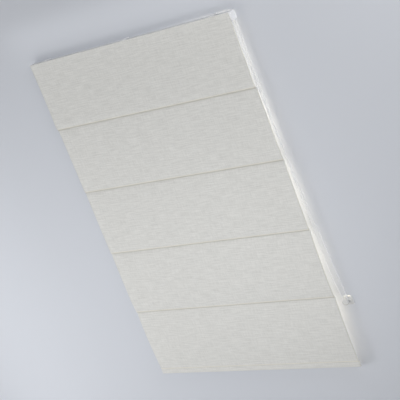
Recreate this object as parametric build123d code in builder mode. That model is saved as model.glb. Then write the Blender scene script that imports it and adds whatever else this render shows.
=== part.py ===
from build123d import *

import os
from math import cos, pi, radians, sin, tan

# Roman blind with a chain drive, lowered, all sizes in millimetres.
# X runs along the headrail, -Y points into the room and +Z up. The wall is the
# plane Y = 0, and the origin is the middle of the centre bracket's screw holes.

os.makedirs("parts", exist_ok=True)

# Driving dimensions
FABRIC_WIDTH = 1000.0  # finished width of the cloth
FOLD_PITCH = 288.5  # drop of each of the four upper panels
LAST_DROP = 312.0  # drop of the bottom panel, hem included
HEM_HEIGHT = 25.0
TOP = 14.0  # top of the headrail above the bracket screws
RAIL_DEPTH = 24.0
RAIL_HEIGHT = 32.0
RAIL_WALL = 1.2
RAIL_BACK = -4.5  # back of the headrail, clear of the screw heads
BEAD_DIAMETER = 4.5
BEAD_PITCH = 6.0
SPROCKET_POCKETS = 11
CORD_DIAMETER = 1.2
SHAFT_SIDE = 5.0  # across the flats of the square drive shaft
ROD_DIAMETER = 4.0

# Places worked out from them
HALF_WIDTH = FABRIC_WIDTH / 2
AXIS_Y = RAIL_BACK - RAIL_DEPTH / 2  # middle of the headrail, and the shaft
AXIS_Z = TOP - 18.0
RAIL_FRONT = RAIL_BACK - RAIL_DEPTH
RAIL_BOTTOM = TOP - RAIL_HEIGHT
RAIL_X = (-498.5, 488.0)
FOLD_Z = [TOP - FOLD_PITCH * k for k in range(1, 5)]
HEM_BOTTOM = TOP - 4 * FOLD_PITCH - LAST_DROP
HEM_TOP = HEM_BOTTOM + HEM_HEIGHT
BRACKET_X = (-420.0, 0.0, 420.0)
CORD_X = (-380.0, 0.0, 380.0)


def save(part, name):
    """Label a finished piece and write its STEP file."""
    part.label = name
    export_step(part, f"parts/{name}.step")


# ---------------------------------------------------------------- headrail
# An H-shaped aluminium extrusion. The shallow upper channel takes the bracket
# cams and the deep lower one holds the spools and the drive shaft.
WEB_TOP = TOP - 5.3
CHANNEL_HALF = RAIL_DEPTH / 2 - RAIL_WALL
UPPER_SLOT_HALF = 6.8
LOWER_SLOT_HALF = 9.8

with BuildPart() as headrail:
    with BuildSketch(Plane.YZ.offset(RAIL_X[0])):
        with Locations((AXIS_Y, TOP - RAIL_HEIGHT / 2)):
            Rectangle(RAIL_DEPTH, RAIL_HEIGHT)
        with Locations((AXIS_Y, (TOP - RAIL_WALL + WEB_TOP) / 2)):
            Rectangle(2 * CHANNEL_HALF, TOP - RAIL_WALL - WEB_TOP, mode=Mode.SUBTRACT)
        with Locations((AXIS_Y, TOP - RAIL_WALL / 2)):
            Rectangle(2 * UPPER_SLOT_HALF, RAIL_WALL, mode=Mode.SUBTRACT)
        with Locations((AXIS_Y, (WEB_TOP - RAIL_WALL + RAIL_BOTTOM + RAIL_WALL) / 2)):
            Rectangle(
                2 * CHANNEL_HALF,
                WEB_TOP - 2 * RAIL_WALL - RAIL_BOTTOM,
                mode=Mode.SUBTRACT,
            )
        with Locations((AXIS_Y, RAIL_BOTTOM + RAIL_WALL / 2)):
            Rectangle(2 * LOWER_SLOT_HALF, RAIL_WALL, mode=Mode.SUBTRACT)
    extrude(amount=RAIL_X[1] - RAIL_X[0])
save(headrail.part, "headrail")

# Hook tape stuck to the rail's face, and loop tape sewn to the cloth.
TAPE_HEIGHT = 20.0
TAPE_THICK = 1.1
TAPE_Z = TOP - 3.0 - TAPE_HEIGHT / 2
LOOP_FRONT = RAIL_FRONT - 2 * TAPE_THICK

with BuildPart() as hook_tape:
    with Locations(((RAIL_X[0] + RAIL_X[1]) / 2, RAIL_FRONT - TAPE_THICK / 2, TAPE_Z)):
        Box(RAIL_X[1] - RAIL_X[0] - 4, TAPE_THICK, TAPE_HEIGHT)
save(hook_tape.part, "hook_tape")

with BuildPart() as loop_tape:
    with Locations((0, RAIL_FRONT - 1.5 * TAPE_THICK, TAPE_Z)):
        Box(2 * RAIL_X[1] - 6, TAPE_THICK, TAPE_HEIGHT)
save(loop_tape.part, "loop_tape")

# ---------------------------------------------------------------- end pieces
CAP_BACK = -1.8
CAP_FRONT = -31.3
CAP_FRONT_INNER = -30.6  # the part that sits behind the cloth
CAP_HEIGHT = 34.0
CAP_CORNER = 9.0
CAP_LOWER = TOP - CAP_HEIGHT
PLUG_DEPTH = 2 * CHANNEL_HALF - 0.4
PLUG_HEIGHT = 23.8
PLUG_Z = (WEB_TOP - RAIL_WALL + RAIL_BOTTOM + RAIL_WALL) / 2


def cap_outline(front):
    """Draw the end pieces' side view: a block with well rounded lower corners."""
    with BuildSketch(mode=Mode.PRIVATE) as outline:
        with Locations(((CAP_BACK + front) / 2, TOP - CAP_HEIGHT / 2)):
            Rectangle(CAP_BACK - front, CAP_HEIGHT)
        low = outline.vertices().group_by(Axis.Y)[0]
        fillet(low, CAP_CORNER)
        high = outline.vertices().group_by(Axis.Y)[-1]
        fillet(high, 2.0)
    add(outline.sketch)


CAP_PLATE = 2.0
with BuildPart() as left_end_cap:
    with BuildSketch(Plane.YZ.offset(RAIL_X[0] - CAP_PLATE)):
        cap_outline(CAP_FRONT_INNER)
    extrude(amount=CAP_PLATE)
    with BuildSketch(Plane.YZ.offset(RAIL_X[0])):
        with Locations((AXIS_Y, PLUG_Z)):
            Rectangle(PLUG_DEPTH, PLUG_HEIGHT)
            Rectangle(PLUG_DEPTH - 3, PLUG_HEIGHT - 3, mode=Mode.SUBTRACT)
    extrude(amount=12)
    fillet(left_end_cap.faces().sort_by(Axis.X)[0].edges(), 0.6)
save(left_end_cap.part, "left_end_cap")

# ---------------------------------------------------------------- chain drive
CHAIN_X = 502.4
PITCH_RADIUS = SPROCKET_POCKETS * BEAD_PITCH / (2 * pi)
CONTROL_X = (RAIL_X[1], 506.0)
COVER_X = (506.0, 507.8)
CAVITY_X = 498.0
CAVITY_RADIUS = 13.3
HUB_RADIUS = 6.0
SPRING_THICK = 0.8
CORE_INNER = HUB_RADIUS + SPRING_THICK + 0.1
CORE_OUTER = 9.0
SHAFT_END = 492.0
CLOTH_EDGE = HALF_WIDTH + 0.3

with BuildPart() as control_housing:
    with BuildSketch(Plane.YZ.offset(CONTROL_X[0])):
        cap_outline(CAP_FRONT_INNER)
    extrude(amount=CONTROL_X[1] - CONTROL_X[0])
    with BuildSketch(Plane.YZ.offset(CLOTH_EDGE)):
        cap_outline(CAP_FRONT)
    extrude(amount=CONTROL_X[1] - CLOTH_EDGE)
    with BuildSketch(Plane.YZ.offset(CONTROL_X[0] - 14)):
        with Locations((AXIS_Y, PLUG_Z)):
            Rectangle(PLUG_DEPTH, PLUG_HEIGHT)
    extrude(amount=14)
    with BuildSketch(Plane.YZ.offset(CAVITY_X)):
        with Locations((AXIS_Y, AXIS_Z)):
            Circle(CAVITY_RADIUS)
    extrude(amount=CONTROL_X[1] - CAVITY_X, mode=Mode.SUBTRACT)
    with BuildSketch(Plane.YZ.offset(CONTROL_X[0] - 14)):
        with Locations((AXIS_Y, AXIS_Z)):
            Circle(CORE_OUTER + 0.05)
    extrude(amount=CAVITY_X - CONTROL_X[0] + 14, mode=Mode.SUBTRACT)
    # slots in the underside where the two chain strands leave
    with BuildSketch(Plane.XY.offset(CAP_LOWER)):
        with Locations(
            ((CAVITY_X + CONTROL_X[1]) / 2, AXIS_Y - PITCH_RADIUS),
            ((CAVITY_X + CONTROL_X[1]) / 2, AXIS_Y + PITCH_RADIUS),
        ):
            Rectangle(CONTROL_X[1] - CAVITY_X, BEAD_DIAMETER + 1)
    extrude(amount=AXIS_Z - CAP_LOWER, mode=Mode.SUBTRACT)
save(control_housing.part, "control_housing")

with BuildPart() as control_cover:
    with BuildSketch(Plane.YZ.offset(COVER_X[0])):
        cap_outline(CAP_FRONT)
    extrude(amount=COVER_X[1] - COVER_X[0])
    fillet(control_cover.faces().sort_by(Axis.X)[-1].edges(), 0.8)
save(control_cover.part, "control_cover")

# Fixed core that the wrap spring grips, pressed into the housing.
with BuildPart() as brake_core:
    with BuildSketch(Plane.YZ.offset(CONTROL_X[0] - 13)):
        with Locations((AXIS_Y, AXIS_Z)):
            Circle(CORE_OUTER)
            Circle(CORE_INNER, mode=Mode.SUBTRACT)
    extrude(amount=18)
save(brake_core.part, "brake_core")

# Wrap spring, as the split sleeve that its close turns make.
with BuildPart() as brake_spring:
    with BuildSketch(Plane.YZ.offset(CONTROL_X[0] - 10)):
        with Locations((AXIS_Y, AXIS_Z)):
            Circle(CORE_INNER - 0.04)
            Circle(HUB_RADIUS + 0.06, mode=Mode.SUBTRACT)
        with Locations((AXIS_Y, AXIS_Z + HUB_RADIUS)):
            Rectangle(1.2, 4, mode=Mode.SUBTRACT)
    extrude(amount=12)
save(brake_spring.part, "brake_spring")

SPROCKET_X = (499.0, 505.6)
RIM_RADIUS = PITCH_RADIUS + 0.6
GROOVE_RADIUS = BEAD_DIAMETER / 2 + 0.25
with BuildPart() as sprocket:
    with BuildSketch(Plane.YZ.offset(SPROCKET_X[0])):
        with Locations((AXIS_Y, AXIS_Z)):
            Circle(RIM_RADIUS)
    extrude(amount=SPROCKET_X[1] - SPROCKET_X[0])
    with BuildSketch(Plane.YZ.offset(CONTROL_X[0] - 12)):
        with Locations((AXIS_Y, AXIS_Z)):
            Circle(HUB_RADIUS)
    extrude(amount=SPROCKET_X[0] - CONTROL_X[0] + 12)
    # groove that the beads run in
    with BuildSketch(Plane(origin=(CHAIN_X, AXIS_Y, AXIS_Z), x_dir=(1, 0, 0), z_dir=(0, -1, 0))):
        with Locations((0, PITCH_RADIUS)):
            Circle(GROOVE_RADIUS)
    revolve(axis=Axis((CHAIN_X, AXIS_Y, AXIS_Z), (1, 0, 0)), mode=Mode.SUBTRACT)
    # square socket for the drive shaft
    with BuildSketch(Plane.YZ.offset(CONTROL_X[0] - 12)):
        with Locations((AXIS_Y, AXIS_Z)):
            Rectangle(SHAFT_SIDE + 0.1, SHAFT_SIDE + 0.1)
    extrude(amount=SHAFT_END - CONTROL_X[0] + 12, mode=Mode.SUBTRACT)
save(sprocket.part, "sprocket")

SHAFT_START = CORD_X[0] - 22
with BuildPart() as drive_shaft:
    with Locations(((SHAFT_START + SHAFT_END) / 2, AXIS_Y, AXIS_Z)):
        Box(SHAFT_END - SHAFT_START, SHAFT_SIDE, SHAFT_SIDE)
    chamfer(drive_shaft.edges().filter_by(Axis.X), 0.5)
save(drive_shaft.part, "drive_shaft")

# ---------------------------------------------------------------- spools
DRUM_RADIUS = 6.9  # the cord's centre winds at 7.5
FLANGE_RADIUS = 9.0
JOURNAL_RADIUS = 4.05
SPOOL_HALF = 12.5
JOURNAL_LENGTH = 2.6
CRADLE_HALF = 15.5
CRADLE_HEIGHT = 23.9

for number, x in enumerate(CORD_X, start=1):
    with BuildPart() as spool:
        for start, length, radius in (
            (-SPOOL_HALF - JOURNAL_LENGTH, 2 * (SPOOL_HALF + JOURNAL_LENGTH), JOURNAL_RADIUS),
            (-SPOOL_HALF, 2 * SPOOL_HALF, DRUM_RADIUS),
            (-SPOOL_HALF, 1.5, FLANGE_RADIUS),
            (SPOOL_HALF - 1.5, 1.5, FLANGE_RADIUS),
        ):
            with BuildSketch(Plane.YZ.offset(x + start)):
                with Locations((AXIS_Y, AXIS_Z)):
                    Circle(radius)
            extrude(amount=length)
        with BuildSketch(Plane.YZ.offset(x - CRADLE_HALF)):
            with Locations((AXIS_Y, AXIS_Z)):
                Rectangle(SHAFT_SIDE + 0.1, SHAFT_SIDE + 0.1)
        extrude(amount=2 * CRADLE_HALF, mode=Mode.SUBTRACT)
    save(spool.part, f"spool_{number}")

    with BuildPart() as cradle:
        with Locations((x, AXIS_Y, PLUG_Z)):
            Box(2 * CRADLE_HALF, PLUG_DEPTH, CRADLE_HEIGHT)
        with BuildSketch(Plane.YZ.offset(x - SPOOL_HALF - 0.3)):
            with Locations((AXIS_Y, AXIS_Z)):
                Circle(FLANGE_RADIUS + 0.5)
            with Locations((AXIS_Y, AXIS_Z + 10)):
                Rectangle(2 * FLANGE_RADIUS + 1, 20)
        extrude(amount=2 * SPOOL_HALF + 0.6, mode=Mode.SUBTRACT)
        with BuildSketch(Plane.YZ.offset(x - CRADLE_HALF)):
            with Locations((AXIS_Y, AXIS_Z)):
                Circle(JOURNAL_RADIUS + 0.08)
            with Locations((AXIS_Y, AXIS_Z + 10)):
                Rectangle(2 * JOURNAL_RADIUS - 0.8, 20)
        extrude(amount=2 * CRADLE_HALF, mode=Mode.SUBTRACT)
        # mouth in the floor for the lift cord
        with Locations((x, AXIS_Y + 7.5, PLUG_Z - CRADLE_HEIGHT / 2)):
            Box(8, 5, 16, mode=Mode.SUBTRACT)
    save(cradle.part, f"spool_cradle_{number}")

# ---------------------------------------------------------------- brackets
BRACKET_WIDTH = 24.0
BRACKET_THICK = 1.5
BRACKET_REACH = 27.0
BRACKET_DROP = 11.0
SCREW_SPACING = 14.0
SCREW_HOLE = 2.25
CAM_STEM = 3.0
CAM_REACH = CHANNEL_HALF - 0.5
CAM_TOP = TOP - RAIL_WALL - 0.1
CAM_THICK = 1.8

for number, x in enumerate(BRACKET_X, start=1):
    with BuildPart() as bracket:
        with BuildSketch(Plane.YZ.offset(x - BRACKET_WIDTH / 2)):
            with Locations((-BRACKET_REACH / 2, TOP + BRACKET_THICK / 2)):
                Rectangle(BRACKET_REACH, BRACKET_THICK)
            with Locations((-BRACKET_THICK / 2, (TOP + BRACKET_THICK - BRACKET_DROP) / 2)):
                Rectangle(BRACKET_THICK, TOP + BRACKET_THICK + BRACKET_DROP)
        extrude(amount=BRACKET_WIDTH)
        with BuildSketch(Plane.XZ.offset(-1)):
            with Locations((x - SCREW_SPACING / 2, 0), (x + SCREW_SPACING / 2, 0)):
                Circle(SCREW_HOLE)
        extrude(amount=BRACKET_THICK + 2, mode=Mode.SUBTRACT)
        with BuildSketch(Plane.XY.offset(TOP - 1)):
            with Locations((x, AXIS_Y)):
                Circle(CAM_STEM + 0.08)
        extrude(amount=BRACKET_THICK + 2, mode=Mode.SUBTRACT)
    save(bracket.part, f"wall_bracket_{number}")

    # Cam that locks under the rail's lips, with its lever above the bracket.
    with BuildPart() as cam:
        with BuildSketch(Plane.XY.offset(CAM_TOP - CAM_THICK)):
            with Locations((x, AXIS_Y)):
                Circle(CAM_REACH)
                Rectangle(11.6, 2 * CAM_REACH, mode=Mode.INTERSECT)
        extrude(amount=CAM_THICK)
        with BuildSketch(Plane.XY.offset(CAM_TOP)):
            with Locations((x, AXIS_Y)):
                Circle(CAM_STEM)
        extrude(amount=TOP + BRACKET_THICK + 0.2 - CAM_TOP)
        with BuildSketch(Plane.XY.offset(TOP + BRACKET_THICK + 0.2)):
            with Locations((x, AXIS_Y)):
                Circle(5)
            with Locations((x + 8, AXIS_Y)):
                SlotOverall(22, 7)
        extrude(amount=1.6)
    save(cam.part, f"bracket_cam_{number}")

# ---------------------------------------------------------------- cloth
# Each panel hangs a little back at its top, bellies forward and ends in the
# lip that is wrapped round the fold rod: (top, belly, lip) are the depths of
# its front face, and the last number is how far down the belly is.
PANEL_SHAPES = (
    (-31.9, -36.0, -34.0, 0.70),
    (-24.0, -33.5, -32.5, 0.75),
    (-27.0, -40.0, -36.0, 0.78),
    (-32.0, -45.0, -37.5, 0.70),
    (-33.0, -43.0, -38.0, 0.62),
)
CLOTH_THICK = 1.0
LINING_GAP = 5.0
LINING_THICK = 0.6
POCKET_RADIUS = 3.2
PANEL_TOPS = [TOP] + [z - POCKET_RADIUS for z in FOLD_Z]
PANEL_ENDS = [z + POCKET_RADIUS for z in FOLD_Z] + [HEM_TOP]


def hanging_sheet(width, thick, depths, where, low, high):
    """Extrude a bowed sheet of cloth from its side view, between two heights."""
    top, belly, lip = depths
    middle = high - (high - low) * where
    with BuildPart() as sheet:
        with BuildSketch(Plane.YZ.offset(-width / 2)):
            with BuildLine():
                ThreePointArc((top, high), (belly, middle), (lip, low))
                Line((lip, low), (lip + thick, low))
                ThreePointArc((lip + thick, low), (belly + thick, middle), (top + thick, high))
                Line((top + thick, high), (top, high))
            make_face()
        extrude(amount=width)
    return sheet.part


for number, (top, belly, lip, where) in enumerate(PANEL_SHAPES, start=1):
    low = PANEL_ENDS[number - 1]
    high = PANEL_TOPS[number - 1]
    face = hanging_sheet(FABRIC_WIDTH, CLOTH_THICK, (top, belly, lip), where, low, high)
    save(face, f"fabric_panel_{number}")
    back = [depth + LINING_GAP for depth in (top, belly, lip)]
    if number == 1:
        high = CAP_LOWER - 1
    lining = hanging_sheet(FABRIC_WIDTH - 4, LINING_THICK, back, where, low, high)
    save(lining, f"lining_panel_{number}")

# Fold rods in their stitched pockets, which form the lip of each fold.
ROD_HALF = 493.0
POCKET_HALF = HALF_WIDTH - 1
TIP_LENGTH = 6.0
ROD_Y = [shape[2] + POCKET_RADIUS for shape in PANEL_SHAPES[:4]]

# The lift cords run straight from the backs of the spools to the hem.
CORD_TOP = (AXIS_Y + 7.5, AXIS_Z)
CORD_END = (-26.0, HEM_BOTTOM + 20)
CORD_SLOPE = (CORD_END[0] - CORD_TOP[0]) / (CORD_END[1] - CORD_TOP[1])
EYE_RADIUS = 4.0
EYE_WIRE = 1.0

for number, (z, y) in enumerate(zip(FOLD_Z, ROD_Y), start=1):
    with BuildPart() as rod:
        with BuildSketch(Plane.YZ.offset(-ROD_HALF)):
            with Locations((y, z)):
                Circle(ROD_DIAMETER / 2)
        extrude(amount=2 * ROD_HALF)
    save(rod.part, f"fold_rod_{number}")

    with BuildPart() as pocket:
        with BuildSketch(Plane.YZ.offset(-POCKET_HALF)):
            with Locations((y, z)):
                Circle(POCKET_RADIUS)
                Circle(ROD_DIAMETER / 2 + 0.5, mode=Mode.SUBTRACT)
        extrude(amount=2 * POCKET_HALF)
    save(pocket.part, f"rod_pocket_{number}")

    with BuildPart() as tips:
        for side in (-1, 1):
            with BuildSketch(Plane.YZ.offset(side * ROD_HALF)):
                with Locations((y, z)):
                    Circle(ROD_DIAMETER / 2 + 0.4)
            extrude(amount=side * TIP_LENGTH)
    save(tips.part, f"rod_tips_{number}")

    cord_y = CORD_TOP[0] + CORD_SLOPE * (z - CORD_TOP[1])
    tab = y + POCKET_RADIUS
    with BuildPart() as guides:
        for x in CORD_X:
            with BuildSketch(Plane.XY.offset(z - EYE_WIRE)):
                with Locations((x, cord_y)):
                    Circle(EYE_RADIUS + EYE_WIRE)
                with Locations((x, (tab + cord_y) / 2)):
                    Rectangle(3.0, cord_y - tab)
                with Locations((x, cord_y)):
                    Circle(EYE_RADIUS - EYE_WIRE, mode=Mode.SUBTRACT)
            extrude(amount=2 * EYE_WIRE)
    save(guides.part, f"cord_guides_{number}")

for number, x in enumerate(CORD_X, start=1):
    with BuildPart() as lift_cord:
        with BuildLine() as run:
            Line((x, CORD_TOP[0], CORD_TOP[1]), (x, CORD_END[0], CORD_END[1]))
        with BuildSketch(Plane(origin=run.line @ 0, z_dir=run.line % 0)):
            Circle(CORD_DIAMETER / 2)
        sweep()
    save(lift_cord.part, f"lift_cord_{number}")

# ---------------------------------------------------------------- bottom hem
HEM_FRONT = -38.0
HEM_BACK = -30.6
BAR_DEPTH = 3.0
BAR_HEIGHT = 18.0
BAR_HALF = 490.0
HEM_MID = (HEM_FRONT + HEM_BACK) / 2

with BuildPart() as bottom_hem:
    with BuildSketch(Plane.YZ.offset(-HALF_WIDTH)):
        with Locations((HEM_MID, HEM_BOTTOM + HEM_HEIGHT / 2 - 0.2)):
            RectangleRounded(HEM_BACK - HEM_FRONT, HEM_HEIGHT - 0.4, 1.5)
            Rectangle(BAR_DEPTH + 1.6, BAR_HEIGHT + 1.6, mode=Mode.SUBTRACT)
    extrude(amount=FABRIC_WIDTH)
save(bottom_hem.part, "bottom_hem")

BAR_Z = HEM_BOTTOM + HEM_HEIGHT / 2 - 0.2
with BuildPart() as bottom_bar:
    with Locations((0, HEM_MID, BAR_Z)):
        Box(2 * BAR_HALF, BAR_DEPTH, BAR_HEIGHT)
    fillet(bottom_bar.edges().filter_by(Axis.X), 1.2)
save(bottom_bar.part, "bottom_bar")

with BuildPart() as bar_end_caps:
    for side in (-1, 1):
        with Locations((side * (BAR_HALF + 3.5), HEM_MID, BAR_Z)):
            Box(7, BAR_DEPTH + 1.0, BAR_HEIGHT + 1.0)
save(bar_end_caps.part, "bar_end_caps")

with BuildPart() as cord_adjusters:
    for x in CORD_X:
        with BuildSketch(Plane.XY.offset(HEM_BOTTOM + 4)):
            with Locations((x, CORD_END[0])):
                Circle(3.6)
            with Locations((x, (CORD_END[0] + HEM_BACK) / 2)):
                Rectangle(7.2, CORD_END[0] - HEM_BACK)
        extrude(amount=16)
save(cord_adjusters.part, "cord_adjusters")

# ---------------------------------------------------------------- tensioner
# Clear clip screwed to the wall. The chain's lower end runs round its hub.
HUB_X = 522.0
HUB_Y = -9.0
HUB_Z = TOP - 1190.0
TENSION_SCREW_X = 541.0
PLATE_THICK = 3.0
POST_RADIUS = PITCH_RADIUS - BEAD_DIAMETER / 2 - 0.3
FLANGE_FRONT = HUB_Y - BEAD_DIAMETER / 2 - 2.2
GUARD_RADIUS = PITCH_RADIUS + BEAD_DIAMETER / 2 + 0.6

with BuildPart() as tensioner:
    with BuildSketch(Plane.XZ):
        with Locations((HUB_X + 8, HUB_Z)):
            RectangleRounded(40, 36, 8)
    extrude(amount=PLATE_THICK)
    # hub with a flange that keeps the beads on it
    with BuildSketch(Plane.XZ.offset(PLATE_THICK)):
        with Locations((HUB_X, HUB_Z)):
            Circle(POST_RADIUS)
    extrude(amount=-FLANGE_FRONT - PLATE_THICK)
    with BuildSketch(Plane.XZ.offset(-FLANGE_FRONT - 1.6)):
        with Locations((HUB_X, HUB_Z)):
            Circle(PITCH_RADIUS + 1.5)
    extrude(amount=1.6)
    # guard round the underside
    with BuildSketch(Plane.XZ.offset(PLATE_THICK)):
        with Locations((HUB_X, HUB_Z)):
            Circle(GUARD_RADIUS + 1.6)
            Circle(GUARD_RADIUS, mode=Mode.SUBTRACT)
        with Locations((HUB_X, HUB_Z + 20)):
            Rectangle(40, 40, mode=Mode.SUBTRACT)
    extrude(amount=-FLANGE_FRONT - PLATE_THICK)
    # boss for the screw
    with BuildSketch(Plane.XZ.offset(PLATE_THICK)):
        with Locations((TENSION_SCREW_X, HUB_Z)):
            Circle(5.0)
            with Locations((HUB_X - TENSION_SCREW_X, 0)):
                Circle(GUARD_RADIUS + 0.1, mode=Mode.SUBTRACT)
    extrude(amount=3.5)
    with BuildSketch(Plane.XZ.offset(-1)):
        with Locations((TENSION_SCREW_X, HUB_Z)):
            Circle(2.1)
    extrude(amount=12, mode=Mode.SUBTRACT)
    fillet(tensioner.faces().sort_by(Axis.Y)[0].edges(), 0.6)
save(tensioner.part, "chain_tensioner")

SCREW_SEAT = -(PLATE_THICK + 3.5)
with BuildPart() as tensioner_screw:
    for start, end, radius in ((-18, 0, 1.9), (0, -SCREW_SEAT, 1.7)):
        with BuildSketch(Plane.XZ.offset(start)):
            with Locations((TENSION_SCREW_X, HUB_Z)):
                Circle(radius)
        extrude(amount=end - start)
    with BuildSketch(Plane.XZ.offset(-SCREW_SEAT)):
        with Locations((TENSION_SCREW_X, HUB_Z)):
            Circle(3.8)
    extrude(amount=2.4)
    fillet(tensioner_screw.faces().sort_by(Axis.Y)[0].edges(), 1.2)
    with BuildSketch(Plane.XZ.offset(-SCREW_SEAT + 1.2)):
        with Locations((TENSION_SCREW_X, HUB_Z)):
            Rectangle(4.4, 0.9)
            Rectangle(0.9, 4.4)
    extrude(amount=2, mode=Mode.SUBTRACT)
save(tensioner_screw.part, "tensioner_screw")

# ---------------------------------------------------------------- bead chain
# One loop, closed by a joiner. It goes over the sprocket in the Y-Z plane and
# turns a quarter on its way down to lie flat against the wall at the hub.
JOINER_Z = TOP - 620.0
JOINER_HALF = 7.0
CIRCLE_CORNER = PITCH_RADIUS * tan(radians(22.5))

SPROCKET_ARC = [
    (CHAIN_X, AXIS_Y + PITCH_RADIUS, AXIS_Z + CIRCLE_CORNER),
    (CHAIN_X, AXIS_Y + CIRCLE_CORNER, AXIS_Z + PITCH_RADIUS),
    (CHAIN_X, AXIS_Y - CIRCLE_CORNER, AXIS_Z + PITCH_RADIUS),
    (CHAIN_X, AXIS_Y - PITCH_RADIUS, AXIS_Z + CIRCLE_CORNER),
]
HUB_ARC = [
    (HUB_X + PITCH_RADIUS, HUB_Y, HUB_Z - CIRCLE_CORNER),
    (HUB_X + CIRCLE_CORNER, HUB_Y, HUB_Z - PITCH_RADIUS),
    (HUB_X - CIRCLE_CORNER, HUB_Y, HUB_Z - PITCH_RADIUS),
    (HUB_X - PITCH_RADIUS, HUB_Y, HUB_Z - CIRCLE_CORNER),
]
JOINER_X, JOINER_Y = 504.0, -17.0
CHAIN_ROUTE = [
    (JOINER_X, JOINER_Y, JOINER_Z + JOINER_HALF),
    (CHAIN_X, AXIS_Y + PITCH_RADIUS + 0.4, TOP - 60),
    *SPROCKET_ARC,
    (CHAIN_X, AXIS_Y - PITCH_RADIUS - 0.6, TOP - 70),
    (515.0, -31.0, TOP - 600),
    (530.0, -14.0, TOP - 1060),
    (HUB_X + PITCH_RADIUS + 0.4, HUB_Y - 0.4, HUB_Z + 28),
    *HUB_ARC,
    (HUB_X - PITCH_RADIUS - 0.4, HUB_Y - 0.6, HUB_Z + 28),
    (507.0, -26.0, TOP - 1040),
    (JOINER_X, JOINER_Y, JOINER_Z - JOINER_HALF),
]


def corner_radii(route):
    """Largest arc that each corner's two runs allow: 0.45 of the shorter run."""
    points = [Vector(*point) for point in route]
    radii = []
    for before, here, after in zip(points, points[1:], points[2:]):
        turn = (here - before).get_angle(after - here)
        shorter = min((here - before).length, (after - here).length)
        radii.append(0.45 * shorter / tan(radians(turn / 2)))
    return radii


chain_radii = corner_radii(CHAIN_ROUTE)
print("chain radii", [round(radius, 1) for radius in chain_radii])
with BuildPart() as bead_chain:
    with BuildLine() as chain_line:
        FilletPolyline(*CHAIN_ROUTE, radius=chain_radii)
    with BuildSketch(Plane(origin=chain_line.line @ 0, z_dir=chain_line.line % 0)):
        Circle(BEAD_DIAMETER / 2)
    sweep()
chain_length = chain_line.wires()[0].length
print("chain length", round(chain_length, 1), "volume share", round(
    bead_chain.part.volume / (chain_length * pi * BEAD_DIAMETER**2 / 4), 4
))
save(bead_chain.part, "bead_chain")

with BuildPart() as chain_joiner:
    with BuildSketch(Plane.XY.offset(JOINER_Z - JOINER_HALF)):
        with Locations((JOINER_X, JOINER_Y)):
            Circle(BEAD_DIAMETER / 2 + 0.7)
    extrude(amount=2 * JOINER_HALF)
    fillet(chain_joiner.edges(), 1.0)
save(chain_joiner.part, "chain_joiner")
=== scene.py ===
"""Looks for a flat Roman blind with a chain control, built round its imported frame."""

import math

import bmesh
import bpy
import numpy as np
from bpy.props import FloatProperty, FloatVectorProperty, IntProperty, PointerProperty
from mathutils import Matrix, Vector


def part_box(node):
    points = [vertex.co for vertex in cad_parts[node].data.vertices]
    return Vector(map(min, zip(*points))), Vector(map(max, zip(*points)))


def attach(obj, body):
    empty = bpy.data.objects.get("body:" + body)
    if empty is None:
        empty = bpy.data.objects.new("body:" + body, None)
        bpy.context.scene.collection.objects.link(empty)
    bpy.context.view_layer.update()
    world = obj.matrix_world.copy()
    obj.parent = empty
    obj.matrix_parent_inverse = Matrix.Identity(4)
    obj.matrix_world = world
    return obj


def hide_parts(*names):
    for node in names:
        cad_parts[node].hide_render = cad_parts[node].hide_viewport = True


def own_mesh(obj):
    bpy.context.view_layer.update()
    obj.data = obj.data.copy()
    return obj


bl_info = {
    "name": "Roman Blind",
    "version": (1, 0, 0),
    "blender": (4, 5, 0),
    "location": "View3D > Sidebar > Roman Blind",
    "description": "Builds the cloth, cords, chain and finishes of a Roman blind",
    "category": "Add Mesh",
}

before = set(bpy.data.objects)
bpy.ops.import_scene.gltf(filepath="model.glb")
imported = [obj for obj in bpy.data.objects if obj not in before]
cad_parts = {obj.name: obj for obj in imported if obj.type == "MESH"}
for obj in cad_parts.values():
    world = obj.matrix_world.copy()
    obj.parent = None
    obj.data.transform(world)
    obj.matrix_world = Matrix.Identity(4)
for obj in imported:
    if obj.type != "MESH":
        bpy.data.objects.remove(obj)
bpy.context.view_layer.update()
MM = 0.001

# The bodies of the imported frame
RAIL_BODY = "headrail_frame"
BAR_BODY = "bottom_bar_body"
FOLD_BODIES = ("fold_1", "fold_2", "fold_3", "fold_4")


def box_middle(node):
    """Middle of a node's box, and the box's size, in metres."""
    low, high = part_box(node)
    return (low + high) / 2, high - low


def numbered(name, count):
    """The names of a row of nodes, numbered from 1."""
    return tuple(f"{name}_{number}" for number in range(1, count + 1))


# ------------------------------------------------------------------ settings


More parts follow.
